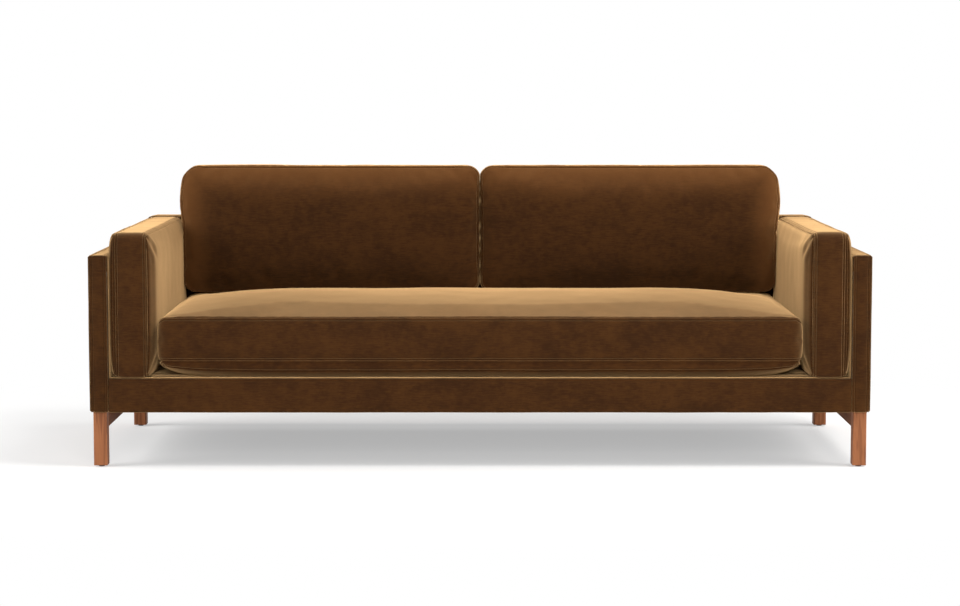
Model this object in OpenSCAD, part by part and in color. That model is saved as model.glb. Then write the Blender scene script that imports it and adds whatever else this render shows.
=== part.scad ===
// Tuxedo sofa: a bolted timber seat box, two thin arm panels and a back panel in velvet,
// with a bench seat cushion, two back cushions and two loose arm pads, on walnut legs.
// Millimetres. +Z is up, the front faces -Y, and the origin is on the floor at the middle.

/* [Overall] */
// Width over the two arm panels
sofa_w = 2310; // [1500:10:2700]
// Depth from the front rail to the outside back
sofa_d = 940; // [820:10:1100]
// Height of the upholstered seat base, from its underside to the deck
base_h = 103; // [97:1:140]
// Thickness of the velvet with its thin padding on the frame
cover_t = 4; // [3:0.5:5]
// Radius of the upholstered edges
edge_r = 7; // [5:0.5:12]

/* [Arms and back] */
// Thickness of an upholstered arm panel
panel_t = 59; // [50:1:90]
// Height of an arm panel, from the underside of the base
panel_h = 467; // [380:1:520]
// Thickness of the upholstered back panel
back_t = 90; // [84:1:140]
// Height of the back panel, from the underside of the base
back_h = 535; // [460:1:600]
// Radius of the two top corners of the back panel
back_round_r = 22; // [12:1:40]

/* [Legs] */
// Height of a wooden leg
leg_h = 160; // [110:1:220]
// Width of a leg across the sofa
leg_w = 40; // [34:1:44]
// Depth of a leg from front to back
leg_d = 45; // [36:1:70]
// Distance from the outside of the arm panel to the leg
leg_side_inset = 8; // [4:0.5:10]
// Distance from the front or back of the sofa to the leg
leg_end_inset = 20; // [10:1:60]
// Height of the rail between the front leg and the back leg
leg_rail_h = 48; // [36:1:70]
// Thickness of the rail between the legs
leg_rail_t = 20; // [16:1:26]
// Height of a glide under a leg
glide_h = 5; // [3:0.5:10]
// Radius of a glide
glide_r = 9; // [6:0.5:14]

/* [Frame timber] */
// Thickness of the rails of the seat box
rail_t = 35; // [26:1:45]
// Thickness of the arm timber
arm_timber_t = 35; // [26:1:38]
// Depth of the back timber
back_timber_t = 45; // [30:1:48]
// Height of the top rails of the arms and the back
top_rail_h = 45; // [35:1:80]
// Width of the upright posts
post_w = 60; // [40:1:90]
// Height of the bearers under the seat
bearer_h = 50; // [30:1:55]
// Leg length of a triangular corner block
corner_block_w = 90; // [60:1:120]
// Thickness of the board behind the back
back_board_t = 5; // [3:0.5:8]

/* [Seat suspension] */
// Number of sinuous springs
spring_count = 12; // [8:1:14]
// Thickness of the spring wire
wire_t = 4; // [3:0.2:4.4]
// Width of a sinuous spring over its loops
spring_w = 50; // [40:1:60]
// Thickness of the sheet steel of a spring clip
clip_t = 1.5; // [1:0.1:2]
// Thickness of the pad under the deck cover
deck_pad_t = 11; // [8:1:14]
// Number of vertical webbing straps in the back
strap_count = 8; // [4:1:10]
// Width of a webbing strap
strap_w = 60; // [40:1:80]
// Thickness of a webbing strap
strap_t = 3; // [2:0.5:4]

/* [Seat cushion] */
// Gap between the seat cushion and each arm pad
seat_side_gap = 1; // [1:0.1:10]
// Height of the lower seam of the seat cushion above the deck
seat_low_seam = 49.5; // [30:0.5:60]
// Height of the boxing of the seat cushion, from seam to seam
seat_boxing = 129; // [80:1:160]
// Rise of the crowned top of the seat cushion above its upper seam
seat_crown = 56; // [20:1:70]
// Radius of the corners of the seat cushion, seen from above
seat_corner_r = 36; // [34:1:80]

/* [Back cushions] */
// Height of a back cushion
back_cushion_h = 410; // [320:1:460]
// Depth of the boxing of a back cushion, from seam to seam
back_boxing = 120; // [80:1:150]
// Swell of the front of a back cushion beyond its seam
back_crown = 48; // [20:1:60]
// Radius of the corners of a back cushion
back_corner_r = 52; // [36:1:80]
// Gap between the two back cushions
centre_gap = 2; // [2:0.5:20]

/* [Arm pads] */
// Height of the arm pad above the deck
pad_h = 430; // [360:1:480]
// Width of the boxing of an arm pad, from seam to seam
pad_boxing = 92; // [60:1:120]
// Swell of the inner side of an arm pad beyond its seam
pad_inner_crown = 27; // [10:1:34]
// Swell of the outer side of an arm pad beyond its seam
pad_outer_crown = 19; // [8:0.5:24]
// Radius of the corners of an arm pad, seen from the side
pad_corner_r = 30; // [20:1:60]

/* [Fit] */
// Gap between a cushion and what it rests on or lies against
rest_gap = 0.4; // [0.3:0.05:0.8]
// Gap between a core or a zip and the cover around it
core_gap = 0.3; // [0.2:0.05:0.5]

/* [Hidden] */
$fn = 48;

// Overrun of every cut past the face it opens
overrun = 2;

// Heights above the floor
under_z = glide_h + leg_h;
timber_z = under_z + cover_t;
deck_z = under_z + base_h;
deck_pad_z = deck_z - cover_t - deck_pad_t;
spring_z = deck_pad_z - clip_t - wire_t;
rail_top_z = spring_z - clip_t;
panel_top_z = under_z + panel_h;
back_top_z = under_z + back_h;

// Places across the sofa: the inside of an arm panel, and the timber inside it
inner_x = sofa_w / 2 - panel_t;
arm_in_x = inner_x + cover_t;
arm_out_x = sofa_w / 2 - cover_t;
box_in_x = inner_x - rail_t;

// Places from front to back
front_y = -sofa_d / 2;
rear_y = sofa_d / 2;
back_y = rear_y - back_t;
front_timber_y = front_y + cover_t;
rail_in_y = front_timber_y + rail_t;
rear_rail_y = back_y - rail_t;
back_in_y = back_y + cover_t;
back_out_y = rear_y - cover_t;
back_timber_y = back_out_y - back_board_t - back_timber_t;

// The front cover turns this far over the deck and under the rail
top_flap = 100;
under_flap = 30;

// Bolts: through the seat box into the arms and the back, and up from the legs into the arms
bolt_r = 4;
bolt_gap = 0.3;
bolt_head_r = 8;
bolt_head_h = 4;
bolt_grip = 32;
bolt_z = (timber_z + rail_top_z) / 2;
arm_bolt_ys = [for (s = [-1, 0, 1]) (rail_in_y + rear_rail_y) / 2 + s * (rear_rail_y - rail_in_y) / 3];
back_bolt_xs = [for (s = [-3, -1, 1, 3]) s * box_in_x / 4];
leg_bolt_up = 34;
leg_bolt_down = 50;
dowel_r = 4;
dowel_l = 28;
dowel_edge = 12;

// Timber details
leg_chamfer = 2;
glide_pin_r = 2;
glide_pin_l = 18;
glide_chamfer = 1;
corner_block_h = 50;
bearer_t = 35;

// Facets around an upholstered edge, and steps of a top corner of the back panel
edge_facets = 20;
back_round_steps = 4;

// Sinuous springs and their clips
bar_pitch_share = 0.8;
tie_wire_r = 1.6;
tie_share = 0.25;
clip_w = 26;
clip_l = 14;
clip_lip = 2;
bend_steps = 3;

// Cushions: the fibre wrap around each core, the pinch of each seam, and how far the seat's ends draw in
wrap_t = 26;
seam_pinch = 3;
side_pull = 2;
back_low_seam = 34;
low_crown_share = 1.7;

// How a panel rises from its seam: a power and a root for a firm panel and for the domed seat
firm_law = [3, 0.36];
dome_law = [2, 0.8];
seat_reach = 400;
back_reach = 200;
pad_reach = 170;

// The dome of the seat falls over this length to this share of its crown, under the back cushions
seat_fall = 270;
seat_rear_share = 0.35;

// Zips: a tape at the bottom of a slot in the boxing, and a slider that runs on it
zip_w = 26;
zip_slot_depth = 6;
zip_tape_t = 2;
zip_share = 0.7;
slider_l = 14;
slider_w = 9;
slider_t = 2.4;
slider_end = 6;

// Thickness of the black cloth under the seat box
dust_t = 1;

// Corner samples, side samples and the rings of each panel, as shares of the outline
corner_steps = 3;
panel_shares = [0.984, 0.958, 0.92, 0.85, 0.76, 0.64, 0.45, 0.22];
boxing_shares = [0.12, 0.5, 0.88];

// A plain block from its lowest corner
module box(size, at) {
    translate(at) cube(size);
}

// The ball that rounds an upholstered edge
module edge_ball() {
    sphere(edge_r / cos(180 / edge_facets), $fn = edge_facets);
}

// An upholstered block with every edge softened, and its timber cavity cut out
module padded_shell(size, at) {
    translate(at) difference() {
        hull()
            for (x = [edge_r, size.x - edge_r], y = [edge_r, size.y - edge_r], z = [edge_r, size.z - edge_r])
                translate([x, y, z]) edge_ball();
        box(size - [2, 2, 2] * cover_t, [1, 1, 1] * cover_t);
    }
}

module left() {
    mirror([1, 0, 0]) children();
}

// Bolt holes

module arm_bolt_holes() {
    for (y = arm_bolt_ys) translate([box_in_x - overrun, y, bolt_z]) rotate([0, 90, 0])
        cylinder(r = bolt_r + bolt_gap, h = rail_t + cover_t + bolt_grip + 2 * overrun);
}

module back_bolt_holes() {
    for (x = back_bolt_xs) translate([x, rear_rail_y - overrun, bolt_z]) rotate([-90, 0, 0])
        cylinder(r = bolt_r + bolt_gap, h = rail_t + cover_t + bolt_grip + 2 * overrun);
}

leg_ys = [front_y + leg_end_inset + leg_d / 2, rear_y - leg_end_inset - leg_d / 2];
leg_x = sofa_w / 2 - leg_side_inset - leg_w / 2;

module leg_bolt_holes() {
    for (y = leg_ys) translate([leg_x, y, under_z - leg_bolt_down - overrun])
        cylinder(r = bolt_r + bolt_gap, h = leg_bolt_down + leg_bolt_up + 2 * overrun);
}

// Seat box

module front_rail() {
    color("burlywood")
        box([2 * inner_x, rail_t, rail_top_z - timber_z], [-inner_x, front_timber_y, timber_z]);
}

module back_rail() {
    color("burlywood") difference() {
        box([2 * inner_x, rail_t, rail_top_z - timber_z], [-inner_x, rear_rail_y, timber_z]);
        back_bolt_holes();
    }
}

module side_rail() {
    color("burlywood") difference() {
        box([rail_t, rear_rail_y - rail_in_y, rail_top_z - timber_z], [box_in_x, rail_in_y, timber_z]);
        arm_bolt_holes();
    }
}

module side_rail_left() {
    left() side_rail();
}

module side_rail_right() {
    side_rail();
}

module seat_bearers() {
    color("burlywood") for (s = [-1, 1])
        box([bearer_t, rear_rail_y - rail_in_y, bearer_h],
            [s * spring_pitch * bearer_bay - bearer_t / 2, rail_in_y, timber_z]);
}

module corner_block() {
    linear_extrude(corner_block_h)
        polygon([[0, 0], [corner_block_w, 0], [0, corner_block_w]]);
}

module corner_blocks() {
    color("tan") for (m = [0, 1]) mirror([m, 0, 0]) {
        translate([-box_in_x, rail_in_y, timber_z]) corner_block();
        translate([-box_in_x, rear_rail_y, timber_z]) mirror([0, 1, 0]) corner_block();
    }
}

// Sinuous springs: flat zigzags with round bends, from the front rail to the back rail

spring_pitch = 2 * box_in_x / spring_count;
bearer_bay = floor(spring_count / 4);
spring_start_y = front_timber_y + rail_t / 2;
spring_end_y = rear_rail_y + rail_t / 2;
spring_bars = 2 * ceil((spring_end_y - spring_start_y) / (2 * bar_pitch_share * spring_w)) + 2;
bar_pitch = (spring_end_y - spring_start_y) / (spring_bars - 1);
bend_r = bar_pitch / 2;
bar_half = spring_w / 2 - bend_r;
spring_xs = [for (i = [0 : spring_count - 1]) (i + 0.5 - spring_count / 2) * spring_pitch];

// Centreline points of a spring, each with the direction that is square to it
function bar_side(i) = i % 2 == 0 ? 1 : -1;
function bend_points(i, r) = [
    for (k = [0 : bend_steps]) let (a = -90 + 180 * k / bend_steps)
        [bar_side(i) * (bar_half + r * cos(a)), (i + 0.5) * bar_pitch + r * sin(a)]
];
function spring_edge(grow) = concat(
    [[-bar_side(0) * (bar_half + bend_r), grow * wire_t / 2 * bar_side(0) * -1]],
    [for (i = [0 : spring_bars - 2], p = bend_points(i, bend_r + grow * bar_side(i) * wire_t / 2)) p],
    [[bar_side(spring_bars - 1) * (bar_half + bend_r),
      (spring_bars - 1) * bar_pitch - grow * wire_t / 2 * bar_side(spring_bars - 1)]]
);
function reversed(list) = [for (i = [len(list) - 1 : -1 : 0]) list[i]];

module spring_outline() {
    polygon(concat(spring_edge(1), reversed(spring_edge(-1))));
}

module seat_springs() {
    color("dimgray") for (x = spring_xs) translate([x, spring_start_y, spring_z])
        linear_extrude(wire_t) spring_outline();
}

// A clip holds the end bar of a spring: a folded strip, open towards the seat
module clip_shape() {
    rotate([90, 0, 90]) translate([0, 0, -clip_w / 2]) linear_extrude(clip_w)
        polygon([
            [-clip_l / 2, 0], [clip_l / 2, 0], [clip_l / 2, clip_t],
            [-wire_t / 2 - clip_t / 2, clip_t],
            [-wire_t / 2 - clip_t / 2, clip_t + wire_t],
            [wire_t / 2 + clip_lip, clip_t + wire_t],
            [wire_t / 2 + clip_lip, 2 * clip_t + wire_t],
            [-wire_t / 2 - 1.5 * clip_t, 2 * clip_t + wire_t],
            [-wire_t / 2 - 1.5 * clip_t, clip_t],
            [-clip_l / 2, clip_t]
        ]);
}

module spring_clips() {
    color("silver") for (x = spring_xs) {
        translate([x, spring_start_y, rail_top_z]) clip_shape();
        translate([x, spring_end_y, rail_top_z]) mirror([0, 1, 0]) clip_shape();
    }
}

module spring_tie_wires() {
    color("dimgray") for (s = [-1, 1])
        translate([-box_in_x, (rail_in_y + rear_rail_y) / 2 + s * tie_share * (rear_rail_y - rail_in_y),
                   spring_z - tie_wire_r])
            rotate([0, 90, 0]) cylinder(r = tie_wire_r, h = 2 * box_in_x);
}

module deck_pad() {
    color("gainsboro") box([2 * inner_x, back_y - front_timber_y, deck_pad_t],
                           [-inner_x, front_timber_y, deck_pad_z]);
}

module deck_cover() {
    color("saddlebrown") box([2 * inner_x, back_y - front_y - top_flap, cover_t],
                             [-inner_x, front_y + top_flap, deck_z - cover_t]);
}

// The front cover: a velvet channel over the front rail, with round edges
module base_cover() {
    color("saddlebrown") translate([-inner_x, front_y, under_z])
        rotate([90, 0, 90]) linear_extrude(2 * inner_x) difference() {
            union() {
                translate([edge_r, base_h - cover_t]) square([top_flap - edge_r, cover_t]);
                translate([edge_r, 0]) square([under_flap - edge_r, cover_t]);
                translate([0, edge_r]) square([cover_t, base_h - 2 * edge_r]);
                for (z = [edge_r, base_h - edge_r]) translate([edge_r, z]) circle(edge_r);
            }
            translate([cover_t, cover_t]) square([top_flap, base_h - 2 * cover_t]);
        }
}

module dust_cover() {
    color("black") box([2 * inner_x, back_y - front_y - under_flap, dust_t],
                       [-inner_x, front_y + under_flap, timber_z - dust_t]);
}

// Arm panels, made once for the right and mirrored for the left

arm_d = back_out_y - front_timber_y;
arm_rail_h = rail_top_z - timber_z;
arm_post_h = panel_top_z - cover_t - top_rail_h - rail_top_z;
arm_foam_t = (arm_out_x - arm_in_x - arm_timber_t) / 2;
arm_post_ys = [front_timber_y, front_timber_y + (arm_d - post_w) / 2, front_timber_y + arm_d - post_w];

module arm_rail() {
    color("burlywood") difference() {
        box([arm_out_x - arm_in_x, arm_d, arm_rail_h], [arm_in_x, front_timber_y, timber_z]);
        arm_bolt_holes();
        leg_bolt_holes();
    }
}

module arm_posts() {
    color("burlywood") for (y = arm_post_ys)
        box([arm_timber_t, post_w, arm_post_h], [arm_in_x + arm_foam_t, y, rail_top_z]);
}

module arm_top_rail() {
    color("burlywood") box([arm_out_x - arm_in_x, arm_d, top_rail_h],
                           [arm_in_x, front_timber_y, rail_top_z + arm_post_h]);
}

module arm_foam() {
    color("gainsboro") for (x = [arm_in_x, arm_out_x - arm_foam_t])
        box([arm_foam_t, arm_d, arm_post_h], [x, front_timber_y, rail_top_z]);
}

module arm_panel_cover() {
    color("saddlebrown") difference() {
        padded_shell([panel_t, sofa_d, panel_h], [inner_x, front_y, under_z]);
        arm_bolt_holes();
        leg_bolt_holes();
    }
}

module arm_rail_left() {
    left() arm_rail();
}

module arm_rail_right() {
    arm_rail();
}

module arm_posts_left() {
    left() arm_posts();
}

module arm_posts_right() {
    arm_posts();
}

module arm_top_rail_left() {
    left() arm_top_rail();
}

module arm_top_rail_right() {
    arm_top_rail();
}

module arm_foam_left() {
    left() arm_foam();
}

module arm_foam_right() {
    arm_foam();
}

module arm_panel_cover_left() {
    left() arm_panel_cover();
}

module arm_panel_cover_right() {
    arm_panel_cover();
}

// Back panel

back_half_w = inner_x - cover_t;
back_post_h = back_top_z - cover_t - top_rail_h - rail_top_z;
back_post_xs = [for (s = [-3, -1, 1, 3]) s * (back_half_w - post_w / 2) / 3];
back_foam_t = back_timber_y - strap_t - back_in_y;
strap_xs = [for (i = [0 : strap_count - 1]) (i + 0.5 - strap_count / 2) * 2 * back_half_w / strap_count];

// The back panel seen from the front, drawn in by an inset, with its two top corners round
function back_arc(x, inset, start) = [
    for (k = [0 : back_round_steps]) let (a = start + 90 * k / back_round_steps)
        [x + (back_round_r - inset) * cos(a), back_top_z - back_round_r + (back_round_r - inset) * sin(a)]
];
function back_profile(inset) = concat(
    [[inset - inner_x, under_z + inset], [inner_x - inset, under_z + inset]],
    back_arc(inner_x - back_round_r, inset, 0),
    back_arc(back_round_r - inner_x, inset, 90)
);

// A slab of the inside of the back panel, from one depth to another
module back_slab(y, t) {
    translate([0, y + t, 0]) rotate([90, 0, 0]) linear_extrude(t) polygon(back_profile(cover_t));
}

module back_bottom_rail() {
    color("burlywood") difference() {
        box([2 * back_half_w, back_timber_y + back_timber_t - back_in_y, arm_rail_h],
            [-back_half_w, back_in_y, timber_z]);
        back_bolt_holes();
    }
}

module back_top_rail() {
    color("burlywood") intersection() {
        box([2 * inner_x, back_timber_t, top_rail_h], [-inner_x, back_timber_y, rail_top_z + back_post_h]);
        back_slab(back_timber_y, back_timber_t);
    }
}

module back_posts() {
    color("burlywood") for (x = back_post_xs)
        box([post_w, back_timber_t, back_post_h], [x - post_w / 2, back_timber_y, rail_top_z]);
}

module back_webbing() {
    color("dimgray") for (x = strap_xs)
        box([strap_w, strap_t, back_post_h + top_rail_h],
            [x - strap_w / 2, back_timber_y - strap_t, rail_top_z]);
}

module back_foam() {
    color("gainsboro") intersection() {
        box([2 * inner_x, back_foam_t, back_post_h + top_rail_h], [-inner_x, back_in_y, rail_top_z]);
        back_slab(back_in_y, back_foam_t);
    }
}

module back_board() {
    color("tan") back_slab(back_out_y - back_board_t, back_board_t);
}

module back_cover() {
    color("saddlebrown") difference() {
        hull() for (p = back_profile(edge_r), y = [back_y + edge_r, rear_y - edge_r])
            translate([p.x, y, p.y]) edge_ball();
        back_slab(back_in_y, back_out_y - back_in_y);
        back_bolt_holes();
    }
}

// Bolts that hold the arms and the back to the seat box

module frame_bolt() {
    cylinder(r = bolt_r, h = rail_t + cover_t + bolt_grip);
    translate([0, 0, -bolt_head_h]) cylinder(r = bolt_head_r, h = bolt_head_h);
}

module frame_bolts() {
    color("silver") {
        for (m = [0, 1], y = arm_bolt_ys) mirror([m, 0, 0])
            translate([box_in_x, y, bolt_z]) rotate([0, 90, 0]) frame_bolt();
        for (x = back_bolt_xs) translate([x, rear_rail_y, bolt_z]) rotate([-90, 0, 0]) frame_bolt();
    }
}

// Legs, with a rail between the front and the back leg of each side

leg_in_x = leg_x - leg_w / 2;
leg_rail_y = leg_ys[0] + leg_d / 2;
leg_rail_l = leg_ys[1] - leg_ys[0] - leg_d;
dowel_zs = [under_z - dowel_edge, under_z - leg_rail_h + dowel_edge];

module leg_dowel_shapes(r, l) {
    for (y = [leg_rail_y, leg_rail_y + leg_rail_l], z = dowel_zs)
        translate([leg_in_x + leg_rail_t / 2, y - l / 2, z]) rotate([-90, 0, 0]) cylinder(r = r, h = l);
}

module leg(y) {
    color("sienna") difference() {
        translate([leg_x, y, glide_h]) linear_extrude(leg_h) polygon([
            for (s = [[1, 1], [-1, 1], [-1, -1], [1, -1]], k = [0, 1])
                let (first = (s.x * s.y > 0) == (k == 0))
                [s.x * (leg_w / 2 - (first ? 0 : leg_chamfer)), s.y * (leg_d / 2 - (first ? leg_chamfer : 0))]
        ]);
        leg_bolt_holes();
        leg_dowel_shapes(dowel_r + core_gap, dowel_l + 2 * core_gap);
        translate([leg_x, y, glide_h - overrun])
            cylinder(r = glide_pin_r + core_gap, h = glide_pin_l + core_gap + overrun);
    }
}

module leg_front_left() {
    left() leg(leg_ys[0]);
}

module leg_front_right() {
    leg(leg_ys[0]);
}

module leg_back_left() {
    left() leg(leg_ys[1]);
}

module leg_back_right() {
    leg(leg_ys[1]);
}

module leg_rail() {
    color("sienna") difference() {
        box([leg_rail_t, leg_rail_l, leg_rail_h], [leg_in_x, leg_rail_y, under_z - leg_rail_h]);
        leg_dowel_shapes(dowel_r + core_gap, dowel_l + 2 * core_gap);
    }
}

module leg_rail_left() {
    left() leg_rail();
}

module leg_rail_right() {
    leg_rail();
}

module leg_dowels() {
    color("wheat") for (m = [0, 1]) mirror([m, 0, 0]) leg_dowel_shapes(dowel_r, dowel_l);
}

module leg_bolts() {
    color("silver") for (m = [0, 1], y = leg_ys) mirror([m, 0, 0])
        translate([leg_x, y, under_z - leg_bolt_down]) cylinder(r = bolt_r, h = leg_bolt_down + leg_bolt_up);
}

module leg_glides() {
    color("black") for (m = [0, 1], y = leg_ys) mirror([m, 0, 0]) translate([leg_x, y, 0])
        rotate_extrude() polygon([
            [0, 0], [glide_r - glide_chamfer, 0], [glide_r, glide_chamfer], [glide_r, glide_h],
            [glide_pin_r, glide_h], [glide_pin_r, glide_h + glide_pin_l], [0, glide_h + glide_pin_l]
        ]);
}

// The seat cushion and the back cushions fill the width between the swollen sides of the arm pads
seat_w = 2 * (inner_x - rest_gap - pad_outer_crown - pad_boxing - pad_inner_crown - seat_side_gap);

// Cushions. A cushion lies in its own frame: u and v across its panels, and w through it.
// Its w = 0 side rests on something, and so does its lowest v where it stands on edge.
// Each is [half u, half v, low seam, boxing, crown, corner radius, reach, pull, u samples, v samples,
// zip side, law of its upper panel, v where the crown has fallen, share of the crown that is left there]

seat_cushion = [seat_w / 2, (back_y - rest_gap - front_y) / 2, seat_low_seam, seat_boxing, seat_crown,
                seat_corner_r, seat_reach, side_pull, 14, 6, 1, dome_law,
                (back_y - rest_gap - front_y) / 2 - back_low_seam - back_boxing - back_crown / 2,
                seat_rear_share];
back_cushion = [(seat_w - centre_gap) / 4, back_cushion_h / 2, back_low_seam, back_boxing, back_crown,
                back_corner_r, back_reach, 0, 8, 4, -1, firm_law, 0, 1];
arm_pad = [seat_cushion[1], pad_h / 2, pad_outer_crown, pad_boxing, pad_inner_crown,
           pad_corner_r, pad_reach, 0, 8, 4, -1, firm_law, 0, 1];

// How far a panel has risen at a distance from its seam, from 0 to 1
function rise(d, reach, law) = pow(1 - pow(1 - min(max(d, 0) / reach, 1), law[0]), law[1]);

// What is left of the crown at v, where it falls to the back
function left_at(c, v) = let (t = min(max((v - c[12]) / seat_fall + 1, 0), 1))
    1 - (1 - c[13]) * t * t * (3 - 2 * t);

function corner_arc(u, v, r, start) = [
    for (k = [0 : corner_steps]) let (a = start + 90 * k / corner_steps) [u + r * cos(a), v + r * sin(a)]
];
function between(p, q, n) = [for (k = [1 : n - 1]) p + (q - p) * k / n];
function outline(c) = let (
    u = c[0] - c[5],
    v = c[1] - c[5],
    arcs = [
        corner_arc(u, v, c[5], 0), corner_arc(-u, v, c[5], 90),
        corner_arc(-u, -v, c[5], 180), corner_arc(u, -v, c[5], 270)
    ]
) [
    for (i = [0 : 3], p = concat(arcs[i], between(arcs[i][corner_steps], arcs[(i + 1) % 4][0], c[8 + i % 2])))
        [p.x * (1 - c[7] / c[0] * (1 - pow(p.y / c[1], 2))), p.y]
];

// How far a point has risen, and one ring of a panel: the outline drawn in by a share, and raised there
function raised(c, q, law) = rise(c[0] - abs(q.x), c[6], law) * rise(c[1] - abs(q.y), c[6], law);
function low_ring(c, share) = [
    for (p = outline(c)) let (q = share * p)
        [q.x, q.y, max(0, c[2] * (1 - low_crown_share * raised(c, q, firm_law)))]
];
function high_ring(c, share) = [
    for (p = outline(c)) let (q = share * p)
        [q.x, q.y, c[2] + c[3] + c[4] * raised(c, q, c[11]) * left_at(c, q.y)]
];
function seam_ring(c, seam) = [
    for (p = outline(c)) [p.x * (1 - seam_pinch / c[0]), p.y * (1 - seam_pinch / c[1]), seam]
];
function flat_ring(c, w) = [for (p = outline(c)) [p.x, p.y, w]];

module cushion_form(c) {
    top_seam = c[2] + c[3];
    rings = concat(
        [for (s = reversed(panel_shares)) low_ring(c, s)],
        [seam_ring(c, c[2])],
        [for (s = boxing_shares) flat_ring(c, c[2] + s * c[3])],
        [seam_ring(c, top_seam)],
        [for (s = panel_shares) high_ring(c, s)]
    );
    n = len(rings[0]);
    last = len(rings) - 1;
    low = (last + 1) * n;
    high = low + 1;
    points = concat([for (ring = rings, p = ring) p], [[0, 0, 0], [0, 0, top_seam + c[4] * left_at(c, 0)]]);
    faces = concat(
        [for (i = [0 : last - 1], j = [0 : n - 1]) let (k = (j + 1) % n)
            [i * n + j, (i + 1) * n + j, (i + 1) * n + k]],
        [for (i = [0 : last - 1], j = [0 : n - 1]) let (k = (j + 1) % n)
            [i * n + j, (i + 1) * n + k, i * n + k]],
        [for (j = [0 : n - 1]) [low, j, (j + 1) % n]],
        [for (j = [0 : n - 1]) [high, last * n + (j + 1) % n, last * n + j]]
    );
    polyhedron(points, faces);
}

// The foam block, grown by a gap for the cavity that holds it
module core_block(c, gap) {
    box([2 * (c[0] - wrap_t + gap), 2 * (c[1] - wrap_t + gap), c[3] + 2 * gap],
        [wrap_t - gap - c[0], wrap_t - gap - c[1], c[2] - gap]);
}

// The zip lies at the bottom of a slot in the middle of one side of the boxing
function zip_l(c) = 2 * c[0] * zip_share;
module on_zip_side(c) {
    mirror([0, c[10] < 0 ? 1 : 0, 0]) translate([0, c[1] - zip_slot_depth, c[2] + c[3] / 2]) children();
}

module zip_slot(c) {
    on_zip_side(c) box([zip_l(c) + 2 * core_gap, zip_slot_depth + overrun, zip_w + 2 * core_gap],
                       [-zip_l(c) / 2 - core_gap, 0, -zip_w / 2 - core_gap]);
}

module zip_tape(c) {
    color("dimgray") on_zip_side(c)
        box([zip_l(c), zip_tape_t, zip_w], [-zip_l(c) / 2, core_gap, -zip_w / 2]);
}

module zip_slider(c) {
    color("silver") on_zip_side(c)
        box([slider_l, slider_t, slider_w],
            [-zip_l(c) / 2 + slider_end, zip_tape_t + 2 * core_gap, -slider_w / 2]);
}

module cushion_cover(c) {
    color("saddlebrown") difference() {
        cushion_form(c);
        core_block(c, core_gap);
        zip_slot(c);
    }
}

module cushion_core(c) {
    color("khaki") core_block(c, 0);
}

// Where the cushions lie

seat_cushion_z = deck_z + rest_gap;
seat_cushion_y = back_y - rest_gap - seat_cushion[1];
back_front_w = back_low_seam + boxing_shares[2] * back_boxing;
back_cushion_z = seat_cushion_z + seat_low_seam + seat_boxing
    + seat_crown * seat_rear_share * rise(back_front_w, seat_reach, dome_law) + rest_gap;

module at_seat() {
    translate([0, seat_cushion_y, seat_cushion_z]) children();
}

module at_back() {
    translate([(seat_w + centre_gap) / 4, back_y - rest_gap, back_cushion_z + back_cushion[1]])
        rotate([90, 0, 0]) children();
}

module at_arm() {
    translate([inner_x - rest_gap, seat_cushion_y, deck_z + rest_gap + arm_pad[1]])
        rotate([90, 0, -90]) children();
}

module seat_cushion_cover() {
    at_seat() cushion_cover(seat_cushion);
}

module seat_cushion_core() {
    at_seat() cushion_core(seat_cushion);
}

module seat_cushion_zip() {
    at_seat() zip_tape(seat_cushion);
}

module seat_zip_slider() {
    at_seat() zip_slider(seat_cushion);
}

module back_cushion_cover_left() {
    left() at_back() cushion_cover(back_cushion);
}

module back_cushion_core_left() {
    left() at_back() cushion_core(back_cushion);
}

module back_cushion_zip_left() {
    left() at_back() zip_tape(back_cushion);
}

module back_zip_slider_left() {
    left() at_back() zip_slider(back_cushion);
}

module back_cushion_cover_right() {
    at_back() cushion_cover(back_cushion);
}

module back_cushion_core_right() {
    at_back() cushion_core(back_cushion);
}

module back_cushion_zip_right() {
    at_back() zip_tape(back_cushion);
}

module back_zip_slider_right() {
    at_back() zip_slider(back_cushion);
}

module arm_pad_cover_left() {
    left() at_arm() cushion_cover(arm_pad);
}

module arm_pad_core_left() {
    left() at_arm() cushion_core(arm_pad);
}

module arm_pad_zip_left() {
    left() at_arm() zip_tape(arm_pad);
}

module arm_zip_slider_left() {
    left() at_arm() zip_slider(arm_pad);
}

module arm_pad_cover_right() {
    at_arm() cushion_cover(arm_pad);
}

module arm_pad_core_right() {
    at_arm() cushion_core(arm_pad);
}

module arm_pad_zip_right() {
    at_arm() zip_tape(arm_pad);
}

module arm_zip_slider_right() {
    at_arm() zip_slider(arm_pad);
}

front_rail();
back_rail();
side_rail_left();
side_rail_right();
seat_bearers();
corner_blocks();
seat_springs();
spring_clips();
spring_tie_wires();
deck_pad();
deck_cover();
base_cover();
dust_cover();
arm_rail_left();
arm_posts_left();
arm_top_rail_left();
arm_foam_left();
arm_panel_cover_left();
arm_rail_right();
arm_posts_right();
arm_top_rail_right();
arm_foam_right();
arm_panel_cover_right();
back_bottom_rail();
back_top_rail();
back_posts();
back_webbing();
back_foam();
back_board();
back_cover();
frame_bolts();
leg_front_left();
leg_front_right();
leg_back_left();
leg_back_right();
leg_rail_left();
leg_rail_right();
leg_dowels();
leg_bolts();
leg_glides();
seat_cushion_cover();
seat_cushion_core();
seat_cushion_zip();
seat_zip_slider();
back_cushion_cover_left();
back_cushion_core_left();
back_cushion_zip_left();
back_zip_slider_left();
back_cushion_cover_right();
back_cushion_core_right();
back_cushion_zip_right();
back_zip_slider_right();
arm_pad_cover_left();
arm_pad_core_left();
arm_pad_zip_left();
arm_zip_slider_left();
arm_pad_cover_right();
arm_pad_core_right();
arm_pad_zip_right();
arm_zip_slider_right();
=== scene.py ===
"""The looks of the tuxedo sofa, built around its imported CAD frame. Metres, +Z up, the front faces -Y."""

import math

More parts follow.
